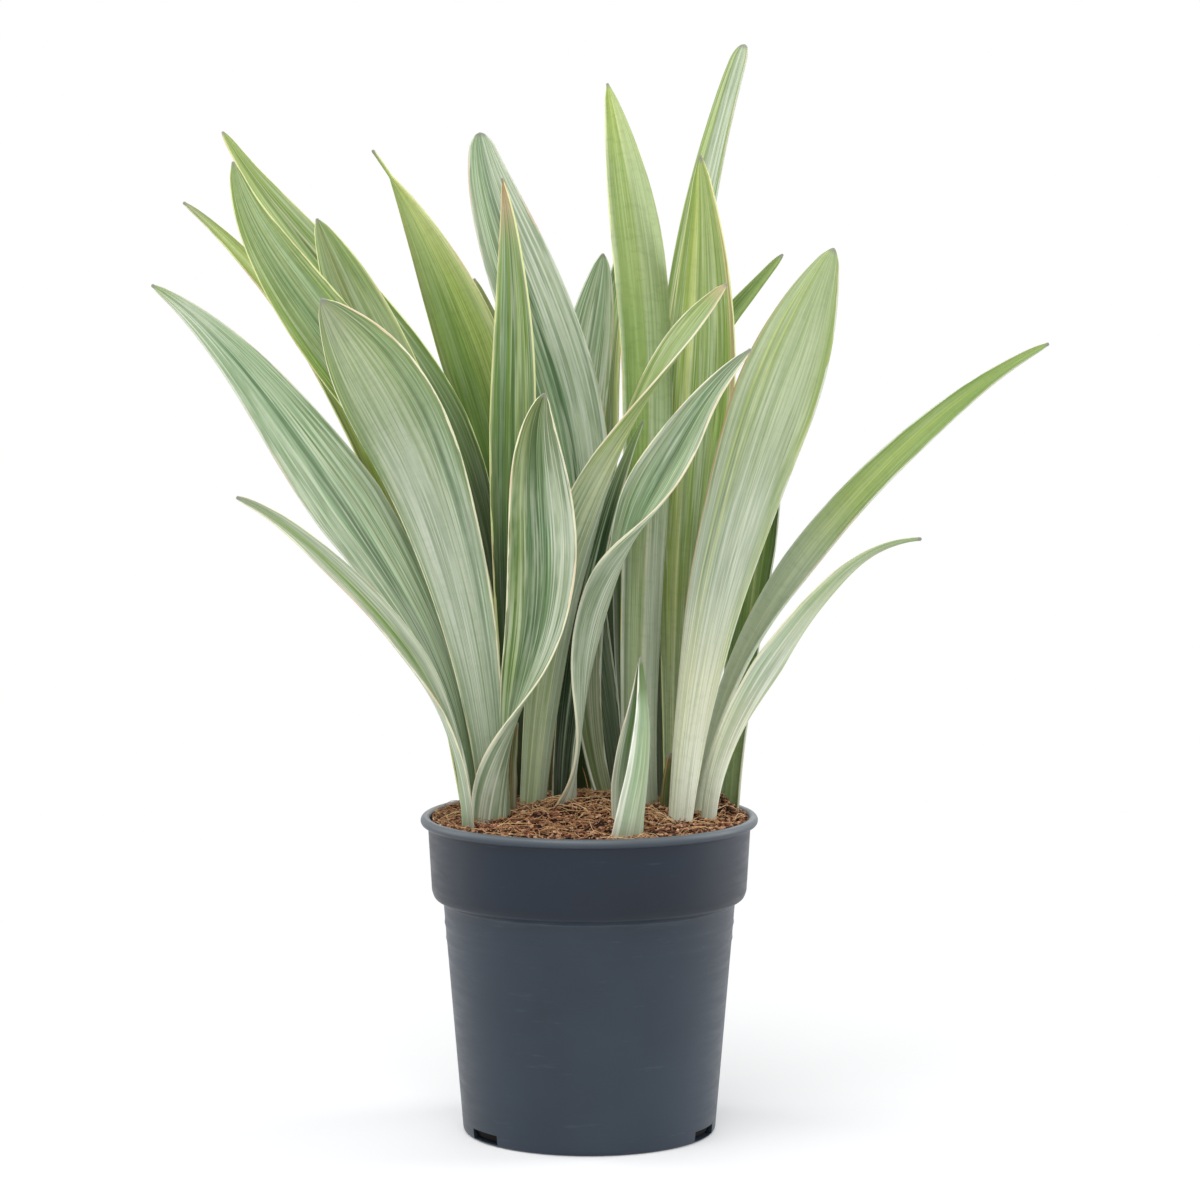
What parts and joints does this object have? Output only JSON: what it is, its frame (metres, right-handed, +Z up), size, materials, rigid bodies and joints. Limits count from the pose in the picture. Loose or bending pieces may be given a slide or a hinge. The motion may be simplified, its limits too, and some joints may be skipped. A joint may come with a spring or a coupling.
{
  "type": "potted snake plant",
  "caption": "Snake plant with upright, arching and twisted lance-shaped leaves, standing in soil in a round nursery pot with a deep collar.",
  "frame": {"origin": "middle of the pot's flat underside, on the surface that it stands on", "axes": "+Z up along the pot's axis, -Y towards the front that the picture shows, +X to the right seen from the front"},
  "size_m": [0.4401, 0.3073, 0.5493],
  "materials": {
    "leaf": "firm fleshy leaf, waxy semi-matt, grey-green stripes with cream margins",
    "soil": "loose brown bark and coir fibre, matt",
    "pot": "satin dark slate moulded plastic"
  },
  "bodies": {
    "root": {"pot": "pot", "soil": "soil", "leaf_left_1": "leaf", "leaf_left_2": "leaf", "leaf_left_3": "leaf", "leaf_left_4": "leaf", "leaf_left_5": "leaf", "leaf_left_6": "leaf", "leaf_middle_1": "leaf", "leaf_middle_2": "leaf", "leaf_middle_3": "leaf", "leaf_middle_4": "leaf", "leaf_middle_5": "leaf", "leaf_middle_6": "leaf", "leaf_middle_7": "leaf", "leaf_front_1": "leaf", "leaf_front_2": "leaf", "leaf_front_3": "leaf", "leaf_front_4": "leaf", "leaf_front_5": "leaf", "leaf_front_6": "leaf", "leaf_right_1": "leaf", "leaf_right_2": "leaf", "leaf_right_3": "leaf", "leaf_right_4": "leaf", "leaf_right_5": "leaf", "leaf_back_1": "leaf", "leaf_back_2": "leaf", "leaf_back_3": "leaf", "leaf_back_4": "leaf", "leaf_back_5": "leaf", "leaf_back_6": "leaf", "leaf_back_7": "leaf"}
  },
  "joints": []
}
